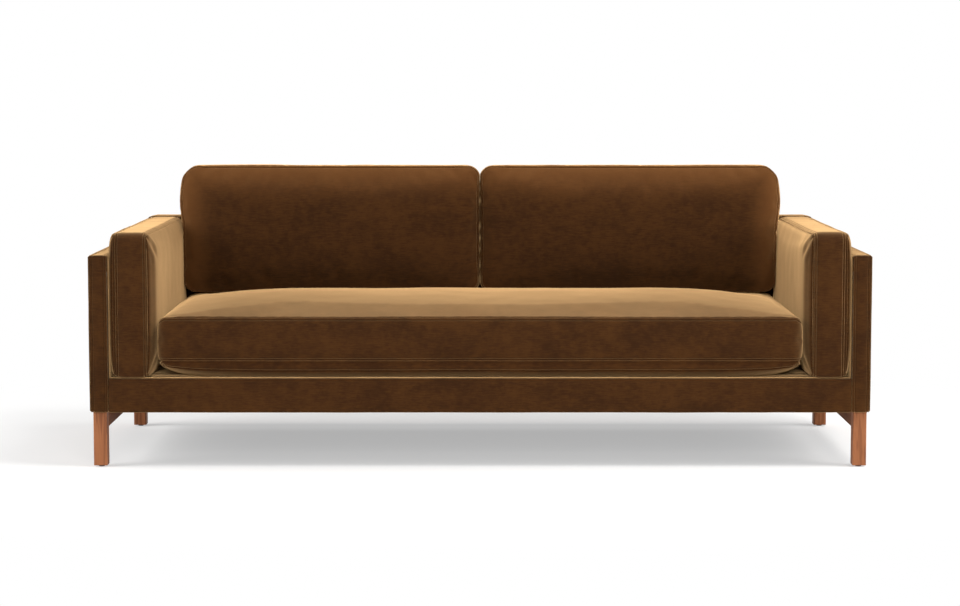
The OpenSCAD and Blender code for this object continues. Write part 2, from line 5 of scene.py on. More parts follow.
import bpy
import numpy as np
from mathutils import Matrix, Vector, noise


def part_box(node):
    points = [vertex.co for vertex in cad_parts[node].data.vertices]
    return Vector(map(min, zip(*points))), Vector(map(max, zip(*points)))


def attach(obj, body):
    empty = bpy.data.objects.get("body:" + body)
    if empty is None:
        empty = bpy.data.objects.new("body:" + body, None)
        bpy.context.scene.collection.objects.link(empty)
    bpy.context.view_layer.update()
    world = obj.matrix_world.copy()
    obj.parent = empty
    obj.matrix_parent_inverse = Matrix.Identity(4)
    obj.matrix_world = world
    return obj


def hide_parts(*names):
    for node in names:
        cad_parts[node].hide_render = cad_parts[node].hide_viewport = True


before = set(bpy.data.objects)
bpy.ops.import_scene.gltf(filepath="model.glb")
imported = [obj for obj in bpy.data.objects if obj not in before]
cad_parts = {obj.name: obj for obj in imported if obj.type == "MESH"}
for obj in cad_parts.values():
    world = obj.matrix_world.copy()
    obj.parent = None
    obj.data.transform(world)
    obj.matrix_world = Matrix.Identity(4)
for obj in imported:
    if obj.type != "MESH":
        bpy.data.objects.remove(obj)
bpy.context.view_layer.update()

MM = 0.001
TINY = 1e-9
SIDES = {"left": -1, "right": 1}


# Camera, stage and light

CAMERA_AT = (0.0, -7.72, 1.16)
CAMERA_PITCH = math.radians(5.27)
CAMERA_LENS = 92.7
SENSOR_W = 36.0


def add_object(name, data):
    obj = bpy.data.objects.new(name, data)
    bpy.context.scene.collection.objects.link(obj)
    return obj


def make_camera():
    data = bpy.data.cameras.new("camera")
    data.lens = CAMERA_LENS
    data.sensor_width = SENSOR_W
    data.clip_end = 200
    camera = add_object("camera", data)
    camera.location = CAMERA_AT
    camera.rotation_euler = (math.pi / 2 - CAMERA_PITCH, 0, 0)
    bpy.context.scene.camera = camera


def area_light(name, place, target, size, watts, colour):
    data = bpy.data.lights.new(name, "AREA")
    data.shape = "RECTANGLE"
    data.size, data.size_y = size
    data.energy = watts
    data.color = colour
    light = add_object(name, data)
    light.location = place
    light.rotation_euler = (Vector(target) - Vector(place)).to_track_quat("-Z", "Y").to_euler()


class Nodes:
    """A short way to write a node tree."""

    def __init__(self, tree):
        self.tree = tree
        self.tree.nodes.clear()

    def add(self, kind, settings=None, **inputs):
        node = self.tree.nodes.new(kind)
        for key, value in (settings or {}).items():
            setattr(node, key, value)
        for key, value in inputs.items():
            self.put(node.inputs[key.replace("_", " ")], value)
        return node

    def put(self, socket, value):
        if isinstance(value, bpy.types.NodeSocket):
            self.tree.links.new(value, socket)
        elif isinstance(value, bpy.types.Node):
            self.tree.links.new(value.outputs[0], socket)
        else:
            socket.default_value = value

    def math(self, operation, a, b=0.0, clamp=False):
        node = self.add("ShaderNodeMath", {"operation": operation, "use_clamp": clamp})
        self.put(node.inputs[0], a)
        self.put(node.inputs[1], b)
        return node.outputs[0]

    def remap(self, value, low, high, to_low=0.0, to_high=1.0):
        node = self.add("ShaderNodeMapRange", {"interpolation_type": "SMOOTHSTEP"})
        settings = {"Value": value, "From Min": low, "From Max": high, "To Min": to_low, "To Max": to_high}
        for key, x in settings.items():
            self.put(node.inputs[key], x)
        return node.outputs[0]

    def mix_colour(self, share, a, b, blend="MIX"):
        node = self.add("ShaderNodeMix", {"data_type": "RGBA", "blend_type": blend})
        self.put(node.inputs[0], share)
        self.put(node.inputs[6], a)
        self.put(node.inputs[7], b)
        return node.outputs[2]

    def noise(self, vector, scale, detail=2.0, roughness=0.5, distortion=0.0):
        node = self.add("ShaderNodeTexNoise")
        for key, x in (("Vector", vector), ("Scale", scale), ("Detail", detail), ("Roughness", roughness),
                       ("Distortion", distortion)):
            self.put(node.inputs[key], x)
        return node.outputs[0]

    def stretched(self, scale):
        """Object coordinates, scaled unevenly."""
        coordinates = self.add("ShaderNodeTexCoord")
        mapping = self.add("ShaderNodeMapping")
        self.put(mapping.inputs["Vector"], coordinates.outputs["Object"])
        self.put(mapping.inputs["Scale"], scale)
        return mapping.outputs[0]

    def bump(self, height, strength, distance, normal=None):
        node = self.add("ShaderNodeBump")
        for key, x in (("Height", height), ("Strength", strength), ("Distance", distance)):
            self.put(node.inputs[key], x)
        if normal is not None:
            self.put(node.inputs["Normal"], normal)
        return node.outputs[0]

    def surface(self, shader):
        output = self.add("ShaderNodeOutputMaterial")
        self.put(output.inputs["Surface"], shader)


def new_material(name):
    material = bpy.data.materials.new(name)
    material.use_nodes = True
    return material, Nodes(material.node_tree)


WHITE = (1.0, 1.0, 1.0, 1.0)
FLOOR_COLOUR = (0.92, 0.92, 0.92, 1.0)
FLOOR_SIZE = 60.0
FADE_FROM, FADE_TO = 0.9, 1.75
FADE_SHAPE = (0.6, 1.0, 0.0)
FLOOR_LIFT = 0.42
WORLD_LIGHT = (0.8, 0.8, 0.8, 1.0)
WORLD_LEVEL = 0.14


def seen_directly(n):
    path = n.add("ShaderNodeLightPath")
    return n.math("MAXIMUM", path.outputs["Is Camera Ray"],
                  n.math("MAXIMUM", path.outputs["Is Glossy Ray"], path.outputs["Is Transmission Ray"]))


def make_floor():
    """A pale floor that keeps the shadow near the sofa and is white further away."""
    material, n = new_material("floor")
    diffuse = n.add("ShaderNodeBsdfDiffuse", Color=FLOOR_COLOUR)
    white = n.add("ShaderNodeEmission", Color=WHITE, Strength=1.0)
    flat = n.stretched(FADE_SHAPE)
    length = n.add("ShaderNodeVectorMath", {"operation": "LENGTH"})
    n.put(length.inputs[0], flat)
    fade = n.remap(length.outputs["Value"], FADE_FROM, FADE_TO, FLOOR_LIFT, 1.0)
    mix = n.add("ShaderNodeMixShader")
    n.put(mix.inputs[0], n.math("MULTIPLY", fade, seen_directly(n)))
    n.put(mix.inputs[1], diffuse)
    n.put(mix.inputs[2], white)
    n.surface(mix)
    mesh = bpy.data.meshes.new("floor")
    half = FLOOR_SIZE / 2
    corners = [(-half, -half, 0), (half, -half, 0), (half, half, 0), (-half, half, 0)]
    mesh.from_pydata(corners, [], [(0, 1, 2, 3)])
    mesh.materials.append(material)
    floor = add_object("floor", mesh)


def make_world():
    world = bpy.data.worlds.new("studio")
    bpy.context.scene.world = world
    world.use_nodes = True
    n = Nodes(world.node_tree)
    light = n.add("ShaderNodeBackground", Color=WORLD_LIGHT, Strength=WORLD_LEVEL)
    white = n.add("ShaderNodeBackground", Color=WHITE, Strength=1.0)
    mix = n.add("ShaderNodeMixShader")
    n.put(mix.inputs[0], seen_directly(n))
    n.put(mix.inputs[1], light)
    n.put(mix.inputs[2], white)
    output = n.add("ShaderNodeOutputWorld")
    n.put(output.inputs["Surface"], mix)


SOFT_WHITE, WARM_WHITE, TOP_WHITE = (1.0, 0.99, 0.98), (1.0, 0.98, 0.95), (1.0, 0.99, 0.97)

# Each light's name, place, target, width and height, watts and colour
LIGHTS = [
    ("left_side", (-4.5, -1.0, 2.5), (0, 0, 0.5), (3.4, 3.0), 185, SOFT_WHITE),
    ("right_side", (4.5, -1.0, 2.5), (0, 0, 0.5), (3.4, 3.0), 145, SOFT_WHITE),
    ("steep_key", (2.0, -1.5, 4.2), (0, 0, 0.4), (1.4, 1.2), 110, WARM_WHITE),
    ("front", (0, -6.0, 2.2), (0, 0, 0.4), (3.0, 2.0), 150, SOFT_WHITE),
    ("top", (0.8, 0.4, 4.2), (0, 0, 0.4), (1.0, 1.0), 38, TOP_WHITE),
    ("rear", (0, 3.8, 4.2), (0, 0, 0.3), (4.0, 1.5), 45, SOFT_WHITE)
]


def make_lights():
    """Wide lights at both sides and in front, a steep key, and two high ones for the rims and the back."""
    for light in LIGHTS:
        area_light(*light)


# Materials. A texture's scale is its number of features per metre

EVEN = (1.0, 1.0, 1.0)
BRUSHED_SCALE, HATCH_SCALE = (6.0, 6.0, 9.0), (38.0, 38.0, 330.0)
MOTTLE_SCALE, PILE_SCALE = 48.0, 900.0
BRUSHED_SHARE, MOTTLE_SHARE, HATCH_SHARE = 0.35, 0.3, 0.35
TONE_RANGE, PILE_RANGE, PILE_SHARE = (0.38, 0.62), (0.35, 0.7), 0.3
VELVET_DARK = (0.0250, 0.0070, 0.0007, 1.0)
VELVET_LIGHT = (0.0535, 0.0175, 0.0021, 1.0)
VELVET_DEEP = (0.0195, 0.0052, 0.0006, 1.0)
VELVET_ROUGHNESS = (0.95, 0.85)
SHEEN_WEIGHT, SHEEN_ROUGHNESS, SHEEN_TINT = 1.0, 0.42, (1.0, 0.62, 0.28, 1.0)

# Painted sheen: a lighter colour that stands in for the light caught by the back cushions' tops and outer
# sides, and where it sets in towards the outer sides and the top
VELVET_PAINTED_SHEEN = (0.1200, 0.0450, 0.0110, 1.0)
PAINTED_SHEEN_X, PAINTED_SHEEN_Z = (0.84, 0.96), (0.74, 0.90)
PAINTED_SHEEN_OUTER, PAINTED_SHEEN_UPPER = 0.85, 0.9


def velvet_material(name, painted_sheen=False):
    """Brown velvet: a dark pile with soft patches and fine hatching, which can carry painted sheen, lighter
    towards the outer sides and the top.
    """
    material, n = new_material(name)
    even = n.stretched(EVEN)
    brushed = n.noise(n.stretched(BRUSHED_SCALE), 1.0, detail=3.0, roughness=0.6, distortion=0.4)
    mottle = n.noise(even, MOTTLE_SCALE, detail=3.0, roughness=0.65)
    hatch = n.noise(n.stretched(HATCH_SCALE), 1.0, roughness=0.6)
    pile = n.noise(even, PILE_SCALE, roughness=0.7)
    tone = n.math("ADD", n.math("MULTIPLY", brushed, BRUSHED_SHARE), n.math("MULTIPLY", mottle, MOTTLE_SHARE))
    tone = n.math("ADD", tone, n.math("MULTIPLY", hatch, HATCH_SHARE))
    colour = n.mix_colour(n.remap(tone, *TONE_RANGE), VELVET_DARK, VELVET_LIGHT)
    colour = n.mix_colour(n.remap(pile, *PILE_RANGE, 0.0, PILE_SHARE), colour, VELVET_DEEP)
    # Painted sheen: the colour is lightened towards the outer sides and the top, where the cushions catch
    # more light
    if painted_sheen:
        at = n.add("ShaderNodeSeparateXYZ", Vector=n.stretched(EVEN))
        outer = n.remap(n.math("ABSOLUTE", at.outputs["X"], 0.0), *PAINTED_SHEEN_X, 0.0, PAINTED_SHEEN_OUTER)
        share = n.math("MAXIMUM", outer, n.remap(at.outputs["Z"], *PAINTED_SHEEN_Z, 0.0, PAINTED_SHEEN_UPPER))
        colour = n.mix_colour(share, colour, VELVET_PAINTED_SHEEN)
    shader = n.add("ShaderNodeBsdfPrincipled", Base_Color=colour)
    n.put(shader.inputs["Roughness"], n.remap(tone, 0.3, 0.7, *VELVET_ROUGHNESS))
    n.put(shader.inputs["Specular IOR Level"], 0.1)
    n.put(shader.inputs["Sheen Weight"], SHEEN_WEIGHT)
    n.put(shader.inputs["Sheen Roughness"], SHEEN_ROUGHNESS)
    n.put(shader.inputs["Sheen Tint"], SHEEN_TINT)
    soft = n.bump(tone, 0.15, 2 * MM)
    n.put(shader.inputs["Normal"], n.bump(pile, 0.25, 0.4 * MM, soft))
    n.surface(shader)
    return material


WALNUT_DARK, WALNUT_LIGHT = (0.19, 0.062, 0.022, 1.0), (0.31, 0.112, 0.042, 1.0)
WALNUT_DARK_LIGHT = (0.24, 0.085, 0.034, 1.0)
TIMBER_DARK, TIMBER_LIGHT = (0.46, 0.30, 0.16, 1.0), (0.68, 0.50, 0.31, 1.0)
RINGS_ACROSS, RINGS_ALONG = 26.0, 1.6
PORES_ACROSS, PORES_ALONG = 420.0, 9.0
BAND_TURNS = 26.0


def grain_scale(across, along, axis):
    """A texture's scale across the grain, and along it on one axis."""
    return tuple(along if k == axis else across for k in range(3))


def wood_material(name, dark, light, grain_axis, roughness):
    """Wood with long grain along one axis, pores and a dull oil finish."""
    material, n = new_material(name)
    ring_scale = grain_scale(RINGS_ACROSS, RINGS_ALONG, grain_axis)
    pore_scale = grain_scale(PORES_ACROSS, PORES_ALONG, grain_axis)
    rings = n.noise(n.stretched(ring_scale), 1.0, detail=4.0, roughness=0.6, distortion=1.2)
    pores = n.noise(n.stretched(pore_scale), 1.0, roughness=0.6)
    bands = n.math("SINE", n.math("MULTIPLY", rings, BAND_TURNS))
    tone = n.math("ADD", n.remap(bands, -1.0, 1.0, 0.0, 0.45), n.math("MULTIPLY", rings, 0.6))
    colour = n.mix_colour(n.remap(tone, 0.15, 0.8), dark, light)
    colour = n.mix_colour(n.remap(pores, 0.56, 0.72, 0.0, 0.55), colour, dark)
    shader = n.add("ShaderNodeBsdfPrincipled", Base_Color=colour)
    n.put(shader.inputs["Roughness"], n.remap(pores, 0.3, 0.7, roughness, roughness + 0.15))
    n.put(shader.inputs["Specular IOR Level"], 0.25)
    n.put(shader.inputs["Normal"], n.bump(pores, 0.25, 0.3 * MM))
    n.surface(shader)
    return material


# Each plain material's dark and light colour, the scale of its grain, its roughness, bump and metal share
PLAIN_LOOKS = {
    "back_board": ((0.30, 0.19, 0.10, 1), (0.42, 0.29, 0.17, 1), (90, 90, 90), 0.8, 0.2, 0),
    "foam": ((0.72, 0.66, 0.50, 1), (0.86, 0.82, 0.68, 1), (700, 700, 700), 0.9, 0.5, 0),
    "webbing": ((0.03, 0.03, 0.032, 1), (0.07, 0.07, 0.075, 1), (500, 90, 500), 0.8, 0.5, 0),
    "dust_cloth": ((0.008, 0.008, 0.008, 1), (0.02, 0.02, 0.02, 1), (600, 600, 600), 0.9, 0.4, 0),
    "zip_tape": ((0.035, 0.016, 0.006, 1), (0.06, 0.03, 0.012, 1), (900, 900, 900), 0.8, 0.4, 0),
    "zip_metal": ((0.42, 0.30, 0.12, 1), (0.55, 0.42, 0.2, 1), (300, 300, 300), 0.35, 0.1, 1),
    "spring_steel": ((0.12, 0.12, 0.13, 1), (0.24, 0.24, 0.26, 1), (200, 200, 200), 0.4, 0.1, 1),
    "bolt_steel": ((0.4, 0.4, 0.42, 1), (0.6, 0.6, 0.62, 1), (300, 300, 300), 0.35, 0.1, 1),
    "glide_plastic": ((0.01, 0.01, 0.01, 1), (0.025, 0.025, 0.025, 1), (800, 800, 800), 0.5, 0.2, 0)
}


def grainy_material(name, dark, light, scale, roughness, bump, metallic):
    """A plain material with fine variation: foam, cloth, plastic or metal."""
    material, n = new_material(name)
    grain = n.noise(n.stretched(scale), 1.0, detail=3.0, roughness=0.6)
    colour = n.mix_colour(n.remap(grain, 0.3, 0.7), dark, light)
    shader = n.add("ShaderNodeBsdfPrincipled", Base_Color=colour)
    n.put(shader.inputs["Roughness"], n.remap(grain, 0.3, 0.7, roughness - 0.06, roughness + 0.06))
    n.put(shader.inputs["Metallic"], metallic)
    n.put(shader.inputs["Normal"], n.bump(grain, bump, 0.5 * MM))
    n.surface(shader)
    return material


# Soft forms. A cushion lies in its own frame: u and v across its panels, w through it

# How a panel rises from its seams, as the power and the root of its curve
FIRM_LAW, DOME_LAW = (3, 0.36), (2, 0.8)
CURVE_POINTS = 20001
LOW_CROWN_SHARE = 1.7
SIDE_PULL = 2 * MM
PINCH_POWER = 4.0

# The droop of the seat's ends, and how its crown falls towards the back cushions
DROOP_FRONT, DROOP_REAR, DROOP_REACH, DROOP_RUN = 20 * MM, 10 * MM, 27 * MM, 450 * MM
SEAT_FALL, SEAT_REAR_SHARE = 270 * MM, 0.35

# How fast a standing cushion's lean, its swelling side and its meeting side set in, and where the side swells
LEAN_POWER, BULGE_POWER, MEET_POWER = 4, 6, 20
BULGE_FROM, BULGE_SPAN = -0.1, 1.05

# Distances from a seam of a mesh's first rings, and the step beyond them, for the cover and its coarse copy
GROOVE_RINGS, STITCH_RINGS = [0.6, 1.2, 1.9, 2.8, 4.4], [5.6, 6.3, 6.8, 7.3, 7.8, 8.3, 9, 10.2]
SEAM_RINGS = np.array(GROOVE_RINGS + STITCH_RINGS + [12, 15.5, 20, 25.5, 32, 39.5]) * MM
STEP = 9 * MM
CLOTH_RINGS = np.array([6, 13, 21, 30]) * MM
CLOTH_STEP = 13 * MM
CLOTH_FRAMES = 20
CLOTH = {
    "uniform_pressure_force": 4.0, "quality": 5, "mass": 0.3, "air_damping": 1.0,
    "tension_stiffness": 15, "compression_stiffness": 15, "shear_stiffness": 5, "bending_stiffness": 1.5
}

# Seams and stitches: how deep, how wide to each side and, for the stitches, how far from the seam
CUSHION_SEAM, CUSHION_STITCH = (4.2 * MM, 1.4 * MM), (3.6 * MM, 1.2 * MM, 7.3 * MM)
PANEL_SEAM, PANEL_STITCH = (1.6 * MM, 1.2 * MM), (2.2 * MM, 1.1 * MM, 4.8 * MM)
PUCKER_REACH, PUCKER_FADE = 9 * MM, 8 * MM
PUCKER_FINE, PUCKER_WIDE = 16 * MM, 150 * MM
PUCKER_MEAN, PUCKER_SPREAD = 0.7, 1.2

# The slot of a zip: half its width, the width of its lip, its depth and its share of the cushion's width
ZIP_HALF_W, ZIP_LIP, ZIP_DEPTH, ZIP_SHARE = 13.3 * MM, 2 * MM, 6.3 * MM, 0.7
ZIP_SIDE_BAND, ZIP_CALM, ZIP_CLEAR = 4 * ZIP_LIP, 1.5, 3 * MM

CORE_INSET, CORE_CLEAR = 23 * MM, 0.8 * MM
REST_BAND = 1 * MM
WAVES, WAVE_SIZE = 2.0 * MM, 0.24
RIPPLES, RIPPLE_SIZE = 0.7 * MM, 0.07

# What is added to a cushion's seed, so that each pattern on it is its own
SECOND_SEAM_SEED, WIDE_SEED, RIPPLE_SEED = 40, 9, 5


def rise(d, reach, law):
    """How far a panel has risen at a distance from its seam, from 0 to 1."""
    power, root = law
    return (1 - (1 - np.clip(d / reach, 0, 1)) ** power) ** root


def spread(dense, end, step):
    """Distances from 0 to the end: dense ones first, then even steps."""
    start = dense[dense < end - step / 2]
    first = start[-1] if len(start) else 0.0
    count = max(1, round((end - first) / step))
    return np.concatenate([[0.0], start, np.linspace(first, end, count + 1)[1:]])


def panel_marks(half, reach, crown, law, rings, step):
    """Places across half a panel, from its seam to its middle, and their distances along the curve."""
    d = half * np.linspace(0, 1, CURVE_POINTS) ** 3
    height = crown * rise(d, reach, law)
    along = np.concatenate([[0.0], np.cumsum(np.hypot(np.diff(d), np.diff(height)))])
    marks = spread(rings, along[-1], step)
    return np.interp(marks, along, d), marks


def full_marks(half, reach, crown, law, rings, step):
    """The same places across the whole panel, each with its distance from the nearer seam."""
    inset, along = panel_marks(half, reach, crown, law, rings, step)
    place = np.concatenate([inset - half, (half - inset)[::-1][1:]])
    return place, np.concatenate([along, along[::-1][1:]])


def round_corners(u, v, a, b, r):
    """Maps a rectangle to the same rectangle with round corners."""
    x, y = np.maximum(np.abs(u) - (a - r), 0), np.maximum(np.abs(v) - (b - r), 0)
    length = np.hypot(x, y)
    share = np.where(length > 0, np.maximum(x, y) / np.where(length > 0, length, 1), 1)
    inside_u, inside_v = np.minimum(np.abs(u), a - r), np.minimum(np.abs(v), b - r)
    return np.sign(u) * (inside_u + x * share), np.sign(v) * (inside_v + y * share)


class Cushion:
    """A boxed cushion: two crowned panels sewn to a boxing, as one closed grid mesh.

    Its size is half its width and half its depth, the height of its low seam, that of its boxing, and its
    crown. Its shape is the radius of its corners and of its low corners, the reach of its crown, and how far
    its sides and its seams are drawn in. It may also have its own law for the crown, a line past which the
    crown has fallen, a top that leans, swells and meets the next cushion, and ends that droop."""

    def __init__(self, spec, rings=SEAM_RINGS, step=STEP):
        self.a, self.b, self.low, self.boxing, self.crown = spec["size"]
        self.corner, self.low_corner, self.reach, self.pull, self.pinch = spec["shape"]
        self.seed, self.zip_side, self.pucker = spec["seed"], spec["zip_side"], spec["pucker"]
        self.law, self.fallen = spec.get("law", FIRM_LAW), spec.get("fallen")
        self.top_share, self.lean, self.bulge, self.meet = spec.get("top", (1, 0, 0, 0))
        self.droop, self.inner_corner = spec.get("droop", False), spec.get("inner_corner", self.corner)
        self.u, self.su = full_marks(self.a, self.reach, self.crown, self.law, rings, step)
        self.v, self.sv = full_marks(self.b, self.reach, self.crown, self.law, rings, step)
        self.nu, self.nv = len(self.u), len(self.v)
        self.square_u, self.square_v = np.meshgrid(self.u, self.v, indexing="ij")
        self.rows = self.boxing_rows(rings, step)
        self.border = self.border_loop()
        self.make_points()
        self.faces = self.make_faces()

    def boxing_rows(self, rings, step):
        """Heights of the boxing's rows of points: dense at both seams and at the lips of the zip's slot."""
        half = self.boxing / 2
        marks = spread(rings, half, step)
        if rings is SEAM_RINGS:
            marks = marks[(marks > 0) & (np.abs(half - marks - ZIP_HALF_W) > ZIP_CLEAR)]
            marks = np.sort(np.concatenate([marks, half - ZIP_HALF_W + np.array([-ZIP_LIP, ZIP_LIP]) / 2]))
        marks = marks[marks > 0]
        return np.concatenate([marks, (self.boxing - marks)[::-1][1:]])

    def border_loop(self):
        """The grid places along a panel's edge, once around."""
        nu, nv = self.nu, self.nv
        return ([(i, 0) for i in range(nu)] + [(nu - 1, j) for j in range(1, nv)]
                + [(i, nv - 1) for i in range(nu - 2, -1, -1)] + [(0, j) for j in range(nv - 2, 0, -1)])

    def rounded(self, u, v):
        upper = np.where(u < 0, self.inner_corner, self.corner)
        return round_corners(u, v, self.a, self.b, np.where(v > 0, upper, self.low_corner))

    def drawn_in(self, u, v, pinch):
        """Draws an outline in by the seam's pinch, and its sides in between the corners."""
        waist = 1 - self.pull / self.a * (1 - (v / self.b) ** 2)
        narrow = 1 - pinch / self.b * np.where(v > 0, self.top_share, 1)
        return u * (1 - pinch / self.a) * waist, v * narrow

    def panel(self, seam, crown, law):
        u, v = self.rounded(self.square_u, self.square_v)
        u, v = self.drawn_in(u, v, self.pinch)
        across = rise(self.a - np.abs(self.square_u), self.reach, law)
        high = across * rise(self.b - np.abs(self.square_v), self.reach, law)
        if crown > 0 and self.fallen is not None:
            t = np.clip((self.square_v - self.fallen) / SEAT_FALL + 1, 0, 1)
            high = high * (1 - (1 - SEAT_REAR_SHARE) * t * t * (3 - 2 * t))
        return np.stack([u, v, np.maximum(0, seam + crown * high)], -1).reshape(-1, 3)

    def make_points(self):
        top_seam = self.low + self.boxing
        at = tuple(np.array(self.border).T)
        u, v = self.rounded(self.square_u[at], self.square_v[at])
        self.along = np.concatenate([[0.0], np.cumsum(np.hypot(np.diff(u), np.diff(v)))])
        self.total = self.along[-1] + math.hypot(u[0] - u[-1], v[0] - v[-1])
        share = 2 * self.rows / self.boxing - 1
        pinch = self.pinch * np.abs(share) ** PINCH_POWER
        sides = []
        for row, p in zip(self.rows, pinch):
            x, y = self.drawn_in(u, v, p)
            sides.append(np.stack([x, y, np.full(len(x), self.low + row)], -1))
        low = self.panel(self.low, -self.low * LOW_CROWN_SHARE, FIRM_LAW)
        high = self.panel(top_seam, self.crown, self.law)
        self.points = self.slumped(np.concatenate([low, high] + sides), top_seam)
        s = np.minimum(self.su[:, None], self.sv[None, :]).ravel()
        side = np.repeat(np.minimum(self.rows, self.boxing - self.rows), len(self.border))
        self.seam_distance = np.concatenate([s, s, side])

    def slumped(self, points, top_seam):
        """A standing cushion's top leans back, its free side swells and its other side meets the next one.
        The ends of the seat cushion's top droop."""
        u, v, w = points.T
        upper = np.clip(v / self.b, 0, 1) ** LEAN_POWER
        outer = np.clip(u / self.a, 0, 1) ** BULGE_POWER
        inner = np.clip(-u / self.a, 0, 1) ** MEET_POWER
        swell = np.sin(math.pi * np.clip((v / self.b - BULGE_FROM) / BULGE_SPAN, 0, 1)) ** 2
        out = points.copy()
        out[:, 0] += self.bulge * outer * swell - self.meet * inner
        out[:, 1] -= self.lean * np.maximum(top_seam - w, 0) * upper
        if self.droop:
            deep = DROOP_FRONT + (DROOP_REAR - DROOP_FRONT) * np.clip((v + self.b) / DROOP_RUN, 0, 1)
            near = np.clip(1 - (self.a - np.abs(u)) / DROOP_REACH, 0, 1) ** 2
            out[:, 2] -= deep * near * np.clip((w - self.low) / self.boxing, 0, 1)
        return out

    def make_faces(self):
        """Quads over the low panel, the high panel and each band of the boxing between two rows."""
        nu, nv, n = self.nu, self.nv, len(self.border)
        i, j = np.meshgrid(np.arange(nu - 1), np.arange(nv - 1), indexing="ij")
        at, beside = i * nv + j, (i + 1) * nv + j
        quad = np.stack([at, beside, beside + 1, at + 1], -1).reshape(-1, 4)
        low_loop = np.array([i * nv + j for i, j in self.border])
        loops = [low_loop] + [2 * nu * nv + k * n + np.arange(n) for k in range(len(self.rows))]
        loops.append(low_loop + nu * nv)
        faces = [quad[:, ::-1], quad + nu * nv]
        for lower, upper in zip(loops, loops[1:]):
            faces.append(np.stack([lower, np.roll(lower, -1), np.roll(upper, -1), upper], -1))
        return np.concatenate(faces)

    def pinned(self):
        """The points that hold still while the cover settles: its seams, and the panel that it rests on."""
        size = self.nu * self.nv
        seam = [size + i * self.nv + j for i, j in self.border]
        return list(range(size)) + seam

    def parts(self, values):
        """Splits values at all points into three grids: low panel, high panel and boxing."""
        size = self.nu * self.nv
        low = values[:size].reshape(self.nu, self.nv, -1)
        high = values[size:2 * size].reshape(self.nu, self.nv, -1)
        at = tuple(np.array(self.border).T)
        rows = values[2 * size:].reshape(len(self.rows), len(self.border), -1)
        return low, high, np.concatenate([low[at][None], rows, high[at][None]])

    def take(self, other, values):
        """Carries values from the points of a coarser copy to the points of this one."""
        low, high, side = other.parts(values)
        grids = [resample(resample(grid, 0, other.u, self.u), 1, other.v, self.v) for grid in (low, high)]
        heights = np.concatenate([[0.0], other.rows, [other.boxing]])
        closed = np.concatenate([side, side[:, :1]], axis=1)
        side = resample(closed, 0, heights, self.rows)
        side = resample(side, 1, np.append(other.along, other.total), self.along * other.total / self.total)
        return np.concatenate([grid.reshape(-1, values.shape[1]) for grid in (*grids, side)])

    def along_borders(self, values):
        """Spreads values that lie along the border over a panel: each edge's own, fading with distance."""
        nu, nv = self.nu, self.nv
        first, right = values[:nu], values[nu - 1:nu + nv - 1]
        last = values[nu + nv - 2:2 * nu + nv - 2][::-1]
        far = 2 * nu + nv - 2
        left = np.concatenate([values[:1], values[far:][::-1], values[far - 1:far]])
        near_v = np.where(np.arange(nv)[None, :] < nv // 2, first[:, None], last[:, None])
        near_u = np.where(np.arange(nu)[:, None] < nu // 2, left[None, :], right[None, :])
        return near_u, near_v

    def puckers(self):
        """Gathers across each seam, strongest a little way off it."""
        def gather(s):
            return s / PUCKER_REACH * np.exp(1 - s / PUCKER_REACH)
        parts = []
        waves = [self.border_waves(self.seed), self.border_waves(self.seed + SECOND_SEAM_SEED)]
        for wave in waves:
            near_u, near_v = self.along_borders(wave)
            su = np.broadcast_to(self.su[:, None], near_u.shape)
            sv = np.broadcast_to(self.sv[None, :], near_v.shape)
            parts.append((near_u * gather(su) * fades(sv) + near_v * gather(sv) * fades(su)).ravel())
        for row in self.rows:
            parts.append(waves[0] * gather(row) + waves[1] * gather(self.boxing - row))
        return self.pucker * np.concatenate(parts)

    def border_waves(self, seed):
        """How strongly the cloth gathers at each place along a seam: the same after one turn around."""
        waves = []
        for s in self.along:
            turn = 2 * math.pi * s / self.total
            round_trip = Vector((math.cos(turn), math.sin(turn), 0)) * self.total / (2 * math.pi)
            fine = noise.noise(round_trip / PUCKER_FINE + Vector((0, 0, seed)))
            wide = noise.noise(round_trip / PUCKER_WIDE + Vector((0, 0, seed + WIDE_SEED)))
            waves.append(fine * (PUCKER_MEAN + PUCKER_SPREAD * wide))
        return np.array(waves)


def fades(s):
    """Lets the puckers of one edge fade out at the next edge."""
    return np.clip(s / PUCKER_FADE, 0, 1)


def resample(grid, axis, at, new):
    """Values on a grid, taken between its lines along one axis."""
    k = np.clip(np.searchsorted(at, new) - 1, 0, len(at) - 2)
    t = np.clip((new - at[k]) / (at[k + 1] - at[k]), 0, 1)
    t = t.reshape([-1 if i == axis else 1 for i in range(3)])
    return np.take(grid, k, axis) * (1 - t) + np.take(grid, k + 1, axis) * t


def settle(cushion, shrink):
    """Lets the cover billow and wrinkle as cloth between its seams, and gives how far each point moves."""
    obj = add_object("settling", grid_mesh("settling", cushion.points, cushion.faces, []))
    obj.vertex_groups.new(name="seams").add(cushion.pinned(), 1.0, "REPLACE")
    cloth = obj.modifiers.new("cloth", "CLOTH")
    cloth.collision_settings.use_collision = False
    settings = cloth.settings
    settings.vertex_group_mass = "seams"
    settings.effector_weights.gravity = 0
    settings.use_pressure = True
    for key, value in CLOTH.items():
        setattr(settings, key, value)
    settings.shrink_min = shrink
    scene = bpy.context.scene
    for step in range(1, CLOTH_FRAMES + 1):
        scene.frame_set(step)
    settled = obj.evaluated_get(bpy.context.evaluated_depsgraph_get()).data
    moved = mesh_points(settled) - cushion.points
    bpy.data.objects.remove(obj)
    scene.frame_set(1)
    return moved


def seam_relief(s, seam, stitch):
    """The groove of a seam and the row of top stitches on each side of it."""
    depth, half_w = seam
    stitch_depth, stitch_half_w, stitch_at = stitch
    groove = depth * np.exp(-(s / half_w) ** 2)
    stitches = stitch_depth * np.exp(-((s - stitch_at) / stitch_half_w) ** 2)
    return -(groove + stitches)


